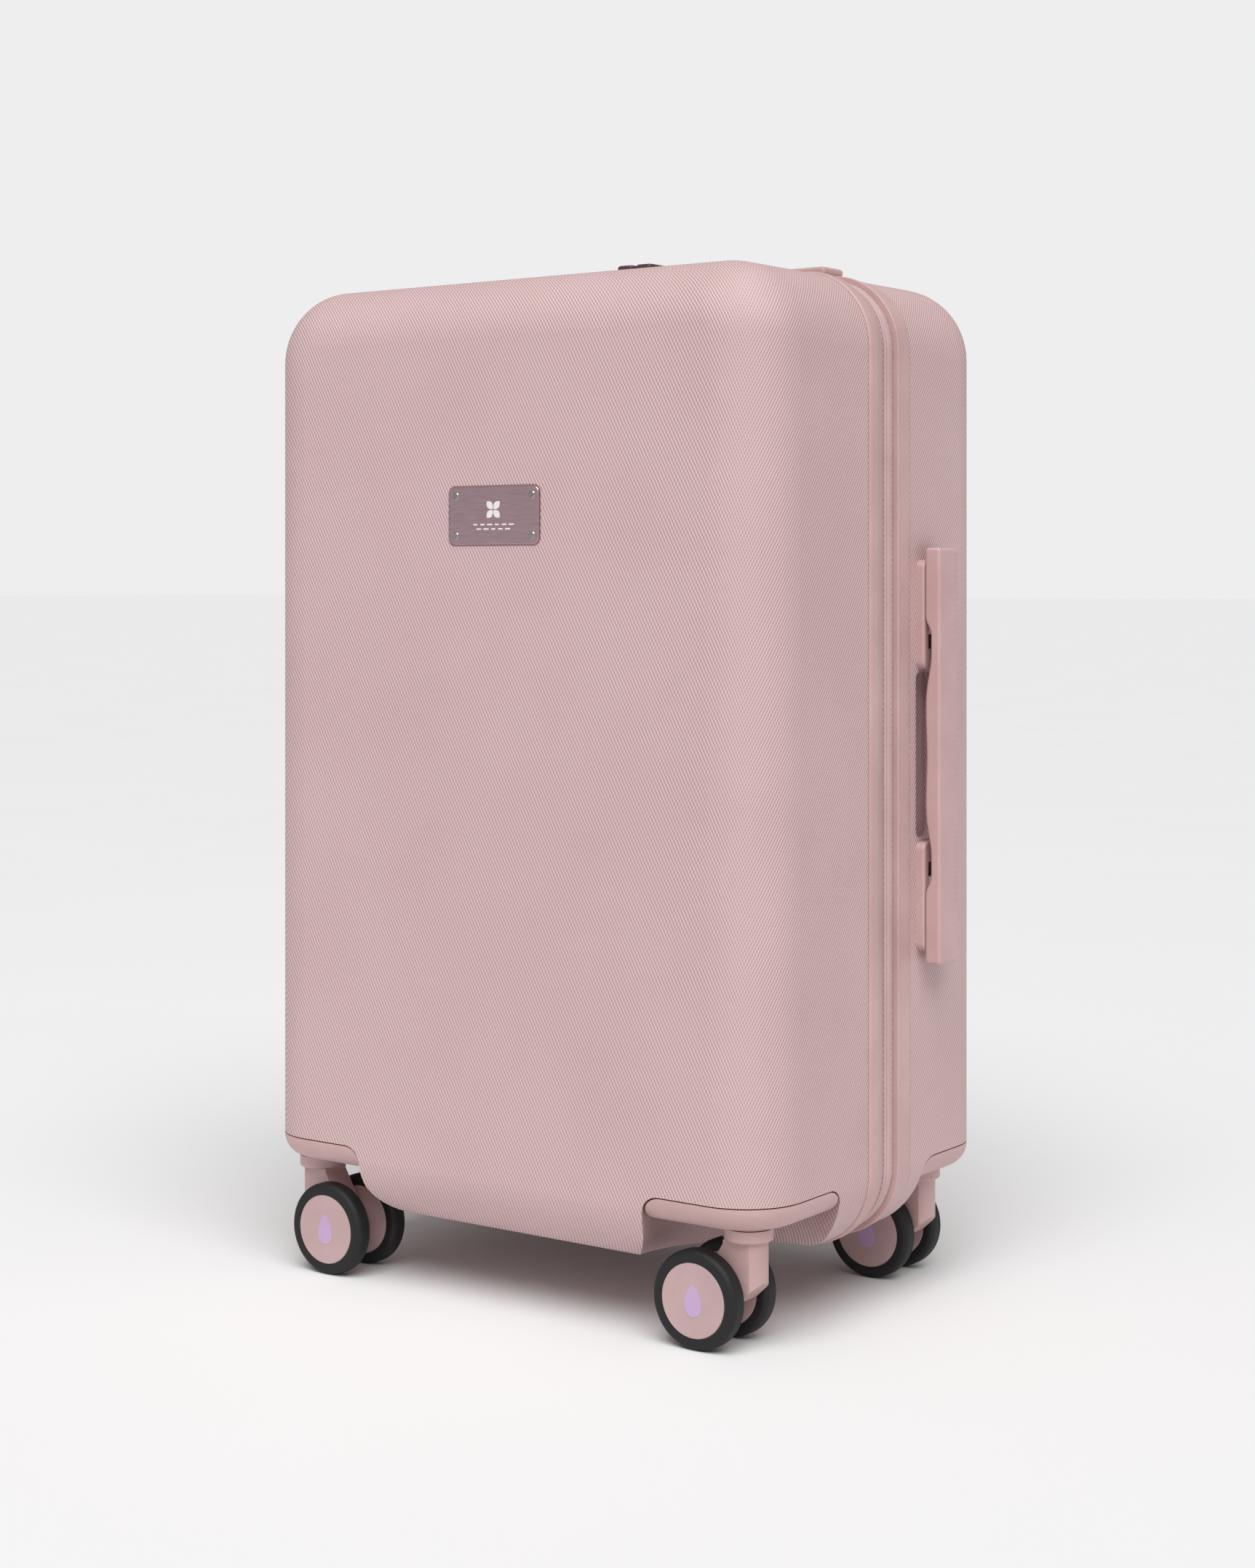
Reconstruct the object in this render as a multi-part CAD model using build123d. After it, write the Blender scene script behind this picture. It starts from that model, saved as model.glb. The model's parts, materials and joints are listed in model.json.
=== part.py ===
from build123d import *
from math import cos, radians, sin
import os

# A hard-shell cabin suitcase on four twin-wheel casters.
# Modelled about the case's own centre line: X across the width (side handle on
# +X), -Y the front face with the badge, +Z up, Z = 0 the floor under the tyres.
# save() then shifts every node so that the origin is under the middle of the
# whole object's box.

# ---- case ----
case_width = 343.0
case_depth = 235.0
case_top = 557.0
case_bottom = 36.5
corner_radius = 41.0      # outline corners, seen from the front
edge_radius = 34.0        # roll from the sides into the front and back faces
wall = 2.2
mid_z = (case_top + case_bottom) / 2
side_x = case_width / 2
back_y = case_depth / 2
reach = 300.0             # cutting blocks run this far past the case

# ---- closing band ----
seam_y = 6.5              # plane where the two halves meet
front_rim_y = -15.6       # front shell ends, front rim starts
rear_rim_y = 28.2         # rear rim ends, rear shell starts
rim_proud = 1.2
front_tongue = 5.0        # front rim's hidden lap inside the shell
rear_tongue = 3.0         # rear rim's hidden lap inside the shell
shell_gap = 0.4           # shadow line between shell and rim
tape_depth = 1.9          # zip tape lies this far below the case surface
tape_thickness = 1.0
half_gap = 0.25           # each half stops this far from the seam plane
hinge_offset = 1.5        # hinge axis stands this far off the case side

# ---- lining ----
lining_offset = 4.4
lining_thickness = 0.8
floor_y = 95.0            # lining floor that hides the trolley tubes
fabric_gap = 0.5
rim_tuck = 6.0            # the cloth's edge lies this far under the rim

# ---- casters ----
stem_x = 146.2
stem_y = {-1: 92.7, 1: 80.7}      # front and rear stems, from the middle
trail = 20.6
wheel_radius = 25.6
hub_radius = 19.4
wheel_width = 11.0
wheel_inner_y = 9.5       # from the caster's middle to a wheel's inner face
tyre_round = 3.2
axle_radius = 2.5
stem_radius = 5.0
running_gap = 0.05
cap_radius = {-1: 54.5, 1: 44.2}  # front and rear corner shoes
cap_bottom = 62.8
cap_top = 75.6
cap_gap = 0.7
cap_wall = 2.6
cap_end_round = 9.0
cap_under_round = 6.0
cap_roll = 12.4
well_flare = {-1: 20.0, 1: 9.0}   # front and rear wells widen by this at the mouth
collar_radius = 12.8
collar_bottom = 56.0
fork_thickness = 17.0
neck_radius = 10.2
screw_radius = 1.5
screw_length = 9.5
screw_head = 3.2
screw_ring = 32.0         # caster screws stand this far from the stem
boss_radius = 3.4
screw_play = 0.2

# ---- pull-out handles (side and top are the same part) ----
handle_length = 226.0
handle_width = 21.0
side_handle = (14.5, 8.7, 6.0)    # outer face, neck and grip, from the case
top_handle = (10.2, 6.9, 5.2)     # the top bar is flatter
handle_round = 2.0
handle_y = 45.5
handle_travel = 10.0
pad_height = 5.0
pad_inner = 47.0
pad_outer = 106.5
leg_from = 66.0
leg_to = 76.0
leg_width = 11.0
slot_from = 58.0
slot_width = 12.0
foot_depth = 13.0
foot_thickness = 2.0
housing_depth = 17.5
recess_depth = 7.0
recess_half = 45.5

# ---- trolley handle ----
tube_x = 56.0
tube_y = 104.0
tube_wall = 1.2
tube_gap = 0.3
outer_tube = (21.0, 14.0)
tube_bottom = 64.0
cup_floor = case_top - 51.5
cup_half = 80.0
cup_front = 82.0
cup_back = 116.0
cup_wall = 2.5
flange_half = 92.0
flange_front = 77.0
flange_bottom = case_top - 62
flange_proud = 1.2
grip_half = 68.0
grip_front = 95.5
grip_back = 112.6
grip_bottom = case_top - 26
grip_proud = 0.6
button_half = 12.0
button_travel = 4.0

# ---- badge ----
badge_size = (61.2, 30.7)
badge_z = 426.7
badge_round = 3.5
badge_proud = 0.7
badge_sink = 0.8
rivet_radius = 2.1
rivet_inset = 4.6

# ---- lock and zip pullers ----
lock_x = 5.0
lock_half = 34.0
lock_front = 10.5
lock_back = 32.5
lock_top = case_top + 8.5
puller_width = 11.5
puller_half_pitch = 6.5
puller_top = case_top + 15.5
pivot_y = 6.5
pivot_z = case_top + 7.5
pivot_radius = 1.2
dial_radius = 4.4
dial_width = 4.0
dial_proud = 1.2
dial_pitch = 5.6
dial_pin = 1.2

frame_shift = Pos(-(side_handle[0] - rim_proud) / 2, 0, 0)
corners = {
    "front_left": (-1, -1),
    "front_right": (1, -1),
    "rear_left": (-1, 1),
    "rear_right": (1, 1),
}


def save(name, shape):
    """Write one node, in the shared frame."""
    export_step(frame_shift * shape, f"parts/{name}.step")


def span(x0, x1, y0, y1, z0, z1):
    """Plain block between two corners."""
    middle = Pos((x0 + x1) / 2, (y0 + y1) / 2, (z0 + z1) / 2)
    return middle * Box(x1 - x0, y1 - y0, z1 - z0)


def between(y0, y1):
    """Everything between two depths."""
    return span(-reach, reach, y0, y1, 0, 2 * reach)


def post(x, y, radius, z0, z1):
    """Upright cylinder."""
    return Pos(x, y, (z0 + z1) / 2) * Cylinder(radius, z1 - z0)


def lying(x, y, z, radius, length, along):
    """Cylinder on its side, centred on a point, along X or Y."""
    turn = Rot(0, 90, 0) if along == "x" else Rot(90, 0, 0)
    return Pos(x, y, z) * turn * Cylinder(radius, length)


def round_bar(x0, x1, y0, y1, z0, z1, radius, along=Axis.Z):
    """Block with the four edges along one axis rounded."""
    block = span(x0, x1, y0, y1, z0, z1)
    return fillet(block.edges().filter_by(along), radius)


# ---- case form ----

def outline(grow):
    """Case outline seen from the front, grown by an offset."""
    height = case_top - case_bottom + 2 * grow
    return RectangleRounded(case_width + 2 * grow, height, corner_radius + grow)


def slab(grow, y0, y1):
    """The outline as a slab between two depths."""
    plane = Plane((0, y0, mid_z), x_dir=(1, 0, 0), z_dir=(0, 1, 0))
    return extrude(plane * outline(grow), y1 - y0)


def case_form(grow=0.0):
    """The whole closed case as one solid, grown or shrunk by an offset."""
    block = slab(grow, -back_y - grow, back_y + grow)
    faces = block.faces().sort_by(Axis.Y)
    return fillet(faces[0].edges() + faces[-1].edges(), edge_radius + grow)


def well(side, end, offset):
    """Round hollow over one caster, with a flared mouth, grown by an offset."""
    radius = cap_radius[end] + cap_gap + offset
    top = cap_top + cap_gap + offset
    roll = cap_end_round + offset
    bend = well_flare[end] - offset
    low = case_bottom + offset
    under = low - 30
    with BuildSketch(Plane.XZ) as profile:
        with BuildLine():
            Polyline((0, under), (0, top), (radius - roll, top))
            RadiusArc((radius - roll, top), (radius, top - roll), roll)
            Line((radius, top - roll), (radius, low + bend))
            RadiusArc((radius, low + bend), (radius + bend, low), -bend)
            Polyline((radius + bend, low), (radius + bend, under), (0, under))
        make_face()
    return Pos(side * stem_x, end * stem_y[end], 0) * revolve(profile.sketch, Axis.Z)


def finger_recess(offset):
    """Shallow hollows behind the side and the top handle bars, in the rear half."""
    half = recess_half + offset
    depth = recess_depth + offset
    near = handle_y - handle_width / 2 - 0.5 - offset
    far = handle_y + handle_width / 2 + 0.5 + offset
    side = round_bar(side_x - depth, side_x + 5, near, far, mid_z - half, mid_z + half,
                     5 + offset, Axis.X)
    top = round_bar(-half, half, near, far, case_top - depth, case_top + 5,
                    5 + offset, Axis.Z)
    return side + top


def hollow_form(offset, end):
    """Case form shrunk by an offset, less what stands into it at one end."""
    form = case_form(-offset)
    for side in (-1, 1):
        form -= well(side, end, offset)
    if end > 0:
        form -= finger_recess(offset)
    return form


# ---- shells ----

def front_shell():
    skin = hollow_form(0, -1) - hollow_form(wall, -1)
    skin = skin & between(-reach, front_rim_y - shell_gap)
    sink = round_bar(-badge_size[0] / 2 - 1, badge_size[0] / 2 + 1,
                     -back_y - 1, -back_y + badge_sink,
                     badge_z - badge_size[1] / 2 - 1, badge_z + badge_size[1] / 2 + 1,
                     badge_round + 1, Axis.Y)
    skin -= sink
    for x, z in rivet_places():
        skin -= lying(x, -back_y + wall / 2, z, rivet_radius * 0.5, wall + 2, "y")
    for side in (-1, 1):
        for x, y in screw_places(side, -1):
            skin -= post(x, y, screw_radius + screw_play, cap_top, cap_top + 6)
    return skin


def rear_shell():
    skin = hollow_form(0, 1) - hollow_form(wall, 1)
    skin = skin & between(rear_rim_y + shell_gap, reach)
    skin -= span(-cup_half - tube_gap, cup_half + tube_gap, cup_front - tube_gap,
                 cup_back + tube_gap, cup_floor - 3, case_top + 1)
    for turn in handle_frames():
        for sign in (-1, 1):
            skin -= turn * slot_block(sign, -wall - 3, 3)
    for side in (-1, 1):
        for x, y in screw_places(side, 1):
            skin -= post(x, y, screw_radius + screw_play, cap_top, cap_top + 6)
    return skin


# ---- closing band ----

def ring(points):
    """Closed band round the case from a section of (outward, y) points:
    four straight runs, and a quarter turn at each corner."""
    half_x = side_x - corner_radius
    half_z = (case_top - case_bottom) / 2 - corner_radius
    section = make_face(Polyline(*[(corner_radius + out, y) for out, y in points], close=True))
    turn = revolve(section, Axis.Y, 90)
    band = Part()
    for step, (x, z) in enumerate([(1, -1), (-1, -1), (-1, 1), (1, 1)]):
        spin = Rot(0, 90 * step, 0)
        band += Pos(x * half_x, 0, z * half_z) * spin * turn
        length = half_z if step % 2 == 0 else half_x
        run = spin * extrude(section, length, both=True)
        middle = [(half_x, 0), (0, -half_z), (-half_x, 0), (0, half_z)][step]
        band += Pos(middle[0], 0, middle[1]) * run
    return Pos(0, 0, mid_z) * band


def front_rim():
    """Smooth bead: flush at the shell, crest, then a slope down to the zip."""
    return ring([
        (-wall - 0.1, front_rim_y - front_tongue),
        (-wall - 0.1, front_rim_y),
        (0.2, front_rim_y),
        (0.9, front_rim_y + 0.8),
        (rim_proud, front_rim_y + 2.2),
        (rim_proud, front_rim_y + 7.0),
        (0.7, front_rim_y + 10.0),
        (-0.9, front_rim_y + 15.5),
        (-1.5, front_rim_y + 16.4),
        (-4.0, front_rim_y + 16.4),
        (-4.0, front_rim_y - front_tongue),
    ])


def rear_rim():
    """Smooth band with a raised lip beside the zip."""
    lip_y = seam_y + 6.9
    return ring([
        (-wall - 0.1, rear_rim_y + rear_tongue),
        (-wall - 0.1, rear_rim_y),
        (0.1, rear_rim_y),
        (0.4, rear_rim_y - 3.0),
        (0.5, lip_y + 2.4),
        (rim_proud, lip_y + 1.4),
        (rim_proud, lip_y + 0.5),
        (0.8, lip_y),
        (-1.5, lip_y),
        (-4.0, lip_y),
        (-4.0, rear_rim_y + rear_tongue),
    ])


def zip_half(end):
    """Tape with its half of the coil, from the rim's edge to the seam."""
    sign = -end
    near = seam_y - sign * half_gap
    far = front_rim_y + 16.4 if end < 0 else seam_y + 6.9
    outer = -tape_depth
    inner = -tape_depth - tape_thickness
    coil = 1.5
    return ring([
        (outer, far),
        (outer, near),
        (inner - coil, near),
        (inner - coil, near - sign * 1.4),
        (inner, near - sign * 2.0),
        (inner, far),
    ])


def hinge_strip():
    """Woven strip that joins the halves along the left side, behind the zip."""
    x = -side_x + 4.6
    return span(x, x + 1.2, seam_y - 8, seam_y + 12, case_bottom + 55, case_top - 55)


# ---- lining ----

def lining_room(offset, end):
    """Space inside the lining's outer (or inner) face."""
    extra = offset - lining_offset + fabric_gap
    room = hollow_form(offset, end)
    if end > 0:
        for turn in handle_frames():
            for sign in (-1, 1):
                room -= turn * housing_block(sign, extra)
        room -= span(-cup_half - extra, cup_half + extra, cup_front - extra, reach,
                     cup_floor - extra, 2 * reach)
        cloth = lining_offset + lining_thickness - offset
        room = room & between(-reach, floor_y + cloth)
    return room


def lining(end):
    """Cloth skin of one half, tucked under the rim."""
    skin = lining_room(lining_offset, end) - lining_room(lining_offset + lining_thickness, end)
    if end < 0:
        return skin & between(-reach, front_rim_y + rim_tuck)
    return skin & between(rear_rim_y - rim_tuck, reach)


def cross_straps():
    """Two flat straps that cross on the floor, and the block of their buckle."""
    straps = []
    for layer, sign in ((0, 1), (1, -1)):
        y = floor_y - 1.2 - 1.8 * layer
        bar = Box(32, 1.6, 400)
        straps.append(Pos(0, y, mid_z) * Rot(0, sign * 33, 0) * bar)
    buckle = round_bar(-26, 26, floor_y - 13, floor_y - 4.2, mid_z - 30, mid_z + 30, 6, Axis.Y)
    return Compound(straps + [buckle])


# ---- handles ----

def handle_frames():
    """Places of the two handles: local X along the bar, Y across, Z outwards."""
    side = Location(Plane((side_x, handle_y, mid_z), x_dir=(0, 0, 1), z_dir=(1, 0, 0)))
    top = Location(Plane((0, handle_y, case_top), x_dir=(1, 0, 0), z_dir=(0, 0, 1)))
    return side, top


def slot_block(sign, z0, z1):
    """Slot that a handle leg slides in, in the handle's own frame."""
    low, high = sorted((sign * slot_from, sign * (leg_to + 0.5)))
    return span(low, high, -slot_width / 2, slot_width / 2, z0, z1)


def housing_block(sign, grow=0.0):
    """Outer block of the inner housing round a handle leg."""
    low, high = sorted((sign * (slot_from - 4 - grow), sign * (leg_to + 8 + grow)))
    half = slot_width / 2 + 5 + grow
    return span(low, high, -half, half, -housing_depth - 1.5 - grow, -wall - 0.1)


def handle_bar(top, neck, middle):
    """Grip bar with thick ends, thin necks, and two legs with feet."""
    half = handle_length / 2
    thick = pad_height + 0.3
    with BuildSketch(Plane.XZ) as profile:
        with BuildLine():
            for sign in (-1, 1):
                Spline((0, middle), (sign * 38, middle + 0.2), (sign * 56, neck),
                       tangents=[(sign, 0), (sign, 0)])
                Line((sign * 56, neck), (sign * 65, neck))
                Spline((sign * 65, neck), (sign * 76, thick), tangents=[(sign, 0), (sign, 0)])
                Line((sign * 76, thick), (sign * half, thick))
                Line((sign * half, thick), (sign * half, top))
            Line((-half, top), (half, top))
        make_face()
    bar = extrude(profile.sketch, handle_width / 2, both=True)
    ends = bar.edges().filter_by(Axis.Y).group_by(Axis.X)
    bar = fillet(ends[0] + ends[-1], handle_round)
    rim = bar.faces().sort_by(Axis.Z)[-1].edges()
    bar = fillet(rim, 1.6)
    for sign in (-1, 1):
        low, high = sorted((sign * leg_from, sign * leg_to))
        bar += span(low, high, -leg_width / 2, leg_width / 2, -foot_depth - 1, thick + 2)
        bar += span(low - 2.5, high + 2.5, -7, 7, -foot_depth - foot_thickness, -foot_depth)
    return bar


def handle_mounts():
    """Outer pads and inner housings of both handles."""
    solids = []
    half = handle_width / 2
    for turn in handle_frames():
        for sign in (-1, 1):
            low, high = sorted((sign * pad_inner, sign * pad_outer))
            pad = round_bar(low, high, -half, half, 0, pad_height, 4.5)
            pad = fillet(pad.faces().sort_by(Axis.Z)[-1].edges(), 1.4)
            pad -= slot_block(sign, -1, pad_height + 1)
            solids.append(turn * pad)
            cup = housing_block(sign)
            cup -= slot_space(sign)
            solids.append(turn * cup)
    return Compound(solids)


def slot_space(sign):
    """Room inside a housing for the leg and its foot."""
    low, high = sorted((sign * (slot_from - 2), sign * (leg_to + 4)))
    return span(low, high, -slot_width / 2 - 2.5, slot_width / 2 + 2.5, -housing_depth, 0)


# ---- trolley ----

def tube(size, z0, z1):
    """Pair of rectangular tubes with rounded edges."""
    pair = []
    for sign in (-1, 1):
        x, y = size
        outer = round_bar(-x / 2, x / 2, -y / 2, y / 2, z0, z1, 3.4)
        bore = round_bar(-x / 2 + tube_wall, x / 2 - tube_wall, -y / 2 + tube_wall,
                         y / 2 - tube_wall, z0 - 1, z1 + 1, 2.2)
        pair.append(Pos(sign * tube_x, tube_y, 0) * (outer - bore))
    return pair


def next_size(size):
    """Size of the tube that slides inside a tube."""
    less = 2 * (tube_wall + tube_gap)
    return size[0] - less, size[1] - less


def tube_holes(size, z0, z1, gap):
    """Pair of holes for the tubes to pass through."""
    cut = []
    for sign in (-1, 1):
        x = size[0] / 2 + gap
        y = size[1] / 2 + gap
        hole = round_bar(-x, x, -y, y, z0, z1, 3.0)
        cut.append(Pos(sign * tube_x, tube_y, 0) * hole)
    return cut


def trolley_bezel():
    """Flange over the shell's top back edge, with the cup that takes the grip."""
    patch = round_bar(-flange_half, flange_half, flange_front, reach,
                      flange_bottom, 2 * reach, 6, Axis.Y)
    flange = (case_form(flange_proud) - case_form(0)) & patch
    cup = span(-cup_half, cup_half, cup_front, cup_back, cup_floor, 2 * reach)
    bezel = flange + (cup & case_form(flange_proud))
    bezel -= span(-cup_half + cup_wall, cup_half - cup_wall, cup_front + cup_wall,
                  cup_back - cup_wall + 0.5, cup_floor + cup_wall, 2 * reach)
    for hole in tube_holes(next_size(outer_tube), cup_floor - 1, cup_floor + 4, tube_gap):
        bezel -= hole
    return bezel


def trolley_base():
    """Foot bracket that holds the outer tubes, shaped to the case floor."""
    block = span(-tube_x - 16, tube_x + 16, floor_y + 1.4, 116, 40, tube_bottom + 8)
    block = block & case_form(-wall - 0.2)
    for hole in tube_holes(outer_tube, tube_bottom, 90, 0.0):
        block -= hole
    return block


def trolley_middle():
    """Middle tubes, each with a collar at its top end."""
    size = next_size(outer_tube)
    pair = tube(size, tube_bottom + 6, cup_floor + 5)
    collared = []
    for sign, single in zip((-1, 1), pair):
        x = size[0] / 2 + 1.8
        y = size[1] / 2 + 1.8
        low = cup_floor + cup_wall + 0.3
        collar = round_bar(-x, x, -y, y, low, low + 6.5, 3.6)
        collar -= round_bar(-size[0] / 2 + tube_wall, size[0] / 2 - tube_wall,
                            -size[1] / 2 + tube_wall, size[1] / 2 - tube_wall,
                            low - 1, low + 8, 2.2)
        collared.append(single + Pos(sign * tube_x, tube_y, 0) * collar)
    return Compound(collared)


def trolley_inner():
    """Inner tubes, from near the foot up into the grip."""
    size = next_size(next_size(outer_tube))
    return Compound(tube(size, tube_bottom + 12, grip_bottom + 6))


def trolley_grip():
    """Grip that lies flush in the cup and follows the case's top back edge."""
    block = round_bar(-grip_half, grip_half, grip_front, grip_back, grip_bottom, 2 * reach, 4)
    grip = block & case_form(grip_proud)
    grip = fillet(grip.faces().sort_by(Axis.Z)[0].edges(), 2.0)
    size = next_size(next_size(outer_tube))
    for hole in tube_holes(size, grip_bottom - 1, grip_bottom + 6, 0.0):
        grip -= hole
    grip -= round_bar(-button_half - 0.4, button_half + 0.4, grip_front + 3.1, grip_back - 3.6,
                      grip_bottom + 4, 2 * reach, 2.4)
    return grip


def trolley_button():
    """Release key in the middle of the grip."""
    key = round_bar(-button_half, button_half, grip_front + 3.5, grip_back - 4.0,
                    grip_bottom + 4 + button_travel + 0.3, 2 * reach, 2.0)
    return key & case_form(grip_proud + 1.2)


# ---- badge ----

def rivet_places():
    x = badge_size[0] / 2 - rivet_inset
    z = badge_size[1] / 2 - rivet_inset
    return [(sx * x, badge_z + sz * z) for sx in (-1, 1) for sz in (-1, 1)]


def badge_plate():
    x, z = badge_size[0] / 2, badge_size[1] / 2
    plate = round_bar(-x, x, -back_y - badge_proud, -back_y + badge_sink,
                      badge_z - z, badge_z + z, badge_round, Axis.Y)
    plate = chamfer(plate.faces().sort_by(Axis.Y)[0].edges(), 0.35)
    for px, pz in rivet_places():
        plate -= lying(px, -back_y, pz, rivet_radius * 0.5, 6, "y")
    return plate


def badge_rivets():
    """Four pan-head rivets through the plate and the shell."""
    solids = []
    for x, z in rivet_places():
        head_y = -back_y - badge_proud
        head = lying(x, head_y - 0.25, z, rivet_radius, 0.5, "y")
        head = chamfer(head.faces().sort_by(Axis.Y)[0].edges(), 0.3)
        shank = lying(x, head_y + 2.0, z, rivet_radius * 0.5, 4.0, "y")
        tail = lying(x, -back_y + wall + 0.5, z, rivet_radius * 0.9, 1.0, "y")
        solids.append(head + shank + tail)
    return Compound(solids)


# ---- lock ----

def dial_places():
    return [lock_x - lock_half + 7.5 + step * dial_pitch for step in range(3)]


def dial_hub():
    """Centre of the dials: y and z."""
    return (lock_front + lock_back) / 2, lock_top - dial_radius + dial_proud


def lock_body():
    """Housing with wells for the dials, the pullers' hooks and the release key."""
    block = round_bar(lock_x - lock_half, lock_x + lock_half, lock_front, lock_back,
                      case_top + rim_proud + 0.1, lock_top, 5)
    block = fillet(block.faces().sort_by(Axis.Z)[-1].edges(), 1.2)
    base = round_bar(lock_x - lock_half + 4, lock_x + lock_half - 4, rear_rim_y + 0.6,
                     lock_back - 0.5, case_top, case_top + 2, 1.5)
    block += base
    y, z = dial_hub()
    for x in dial_places():
        block -= lying(x, y, z, dial_radius + 0.4, dial_width + 0.5, "x")
    first, last = dial_places()[0], dial_places()[-1]
    block += lying((first + last) / 2, y, z, dial_pin, last - first + dial_width + 2, "x")
    for sign in (-1, 1):
        x = lock_x + sign * puller_half_pitch
        block -= span(x - 2.5, x + 2.5, lock_front + 8.5, lock_front + 14.5, case_top + 2.5, 2 * reach)
    block -= span(lock_x + 20, lock_x + 30, y - 4.5, y + 4.5, lock_top - 2.5, 2 * reach)
    return block


def lock_dial(x):
    """Ribbed number wheel."""
    y, z = dial_hub()
    wheel = lying(x, y, z, dial_radius, dial_width, "x")
    wheel -= lying(x, y, z, dial_pin + running_gap, dial_width + 2, "x")
    ring_radius = dial_radius + 0.35
    for step in range(10):
        angle = radians(36 * step)
        groove_y = y + cos(angle) * ring_radius
        groove_z = z + sin(angle) * ring_radius
        wheel -= lying(x, groove_y, groove_z, 0.7, dial_width + 2, "x")
    return wheel


def lock_button():
    """Sliding release key in its track on the lock's right end."""
    y = dial_hub()[0]
    return round_bar(lock_x + 20.3, lock_x + 25.3, y - 4.2, y + 4.2,
                     lock_top - 2.3, lock_top + 1.4, 0.8)


# ---- zip sliders and pullers ----

def zip_sliders():
    """Two sliders that meet at the top, each with a bridge for its puller."""
    solids = []
    for sign in (-1, 1):
        x = lock_x + sign * puller_half_pitch
        plate = span(x - 5, x + 5, seam_y - 4, lock_front - 0.5, case_top - 1.6, case_top + 0.8)
        for cheek in (-1, 1):
            ear = x + cheek * 3.9
            plate += span(ear - 0.7, ear + 0.7, pivot_y - 2.2, pivot_y + 2.2, case_top, pivot_z + 2)
        plate += lying(x, pivot_y, pivot_z, pivot_radius, 8.0, "x")
        solids.append(plate)
    return Compound(solids)


def zip_puller(sign):
    """Tab that hangs on the slider's pin and lies back over the lock."""
    x = lock_x + sign * puller_half_pitch
    eye = lying(x, pivot_y, pivot_z, 3.0, 5.6, "x")
    arm = span(x - 2.8, x + 2.8, pivot_y - 2.4, pivot_y + 6, lock_top + 0.7, puller_top - 2.5)
    tab = round_bar(x - puller_width / 2, x + puller_width / 2, pivot_y - 3.5, lock_back - 6,
                    lock_top + 1.4, puller_top, 3.2)
    tab = fillet(tab.faces().sort_by(Axis.Z)[-1].edges(), 1.4)
    tab -= span(x - 4.8, x + 4.8, pivot_y - 5, pivot_y + 3.4, pivot_z - 6, pivot_z + 4)
    hook = span(x - 2.1, x + 2.1, lock_front + 9, lock_front + 14, lock_top - 3.5, lock_top + 3)
    body = tab + eye + arm + hook
    return body - lying(x, pivot_y, pivot_z, pivot_radius + running_gap, 12, "x")


# ---- casters ----

def screw_places(side, end):
    """Three screws round a caster's stem, on its inner side."""
    x, y = side * stem_x, end * stem_y[end]
    places = []
    for angle in (5, 45, 85):
        dx = -side * screw_ring * cos(radians(angle))
        dy = -end * screw_ring * sin(radians(angle))
        places.append((x + dx, y + dy))
    return places


def cap_slab(inset, z0):
    """Plan of the case at the cap line, with its lower edge rolled under."""
    plan = RectangleRounded(case_width - 2 * inset, case_depth - 2 * inset, edge_radius - inset)
    block = extrude(Pos(0, 0, z0) * plan, cap_top - z0)
    return fillet(block.faces().sort_by(Axis.Z)[0].edges(), cap_roll - inset)


def caster_cap(side, end):
    """Smooth corner shoe with the swivel bearing's boss and screw bosses."""
    x, y = side * stem_x, end * stem_y[end]
    puck = post(x, y, cap_radius[end], cap_bottom, cap_top)
    puck = fillet(puck.faces().sort_by(Axis.Z)[-1].edges(), cap_end_round)
    puck = fillet(puck.faces().sort_by(Axis.Z)[0].edges(), cap_under_round)
    shoe = puck & cap_slab(0, cap_bottom)
    room = post(x, y, cap_radius[end] - cap_wall, cap_bottom + cap_wall, cap_top + 5)
    inner = cap_slab(cap_wall, cap_bottom + cap_wall)
    shoe -= room & inner
    shoe += post(x, y, collar_radius - 0.5, cap_bottom, cap_top)
    for px, py in screw_places(side, end):
        shoe += post(px, py, boss_radius, cap_bottom + 1, cap_top + cap_gap)
        shoe -= post(px, py, screw_radius, cap_bottom + 6, cap_top + 5)
    return shoe - post(x, y, stem_radius + running_gap, cap_bottom - 1, cap_top - 1.0)


def caster_screws(end):
    """Pan-head screws that hold both caps of one half, driven from inside."""
    solids = []
    seat = cap_top + cap_gap + wall
    for side in (-1, 1):
        for x, y in screw_places(side, end):
            head = post(x, y, screw_head, seat, seat + 1.6)
            solids.append(head + post(x, y, screw_radius, seat - screw_length, seat))
    return Compound(solids)


def trail_sign(side):
    """Way the wheels trail at rest: inwards, under the case."""
    return -side


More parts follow.
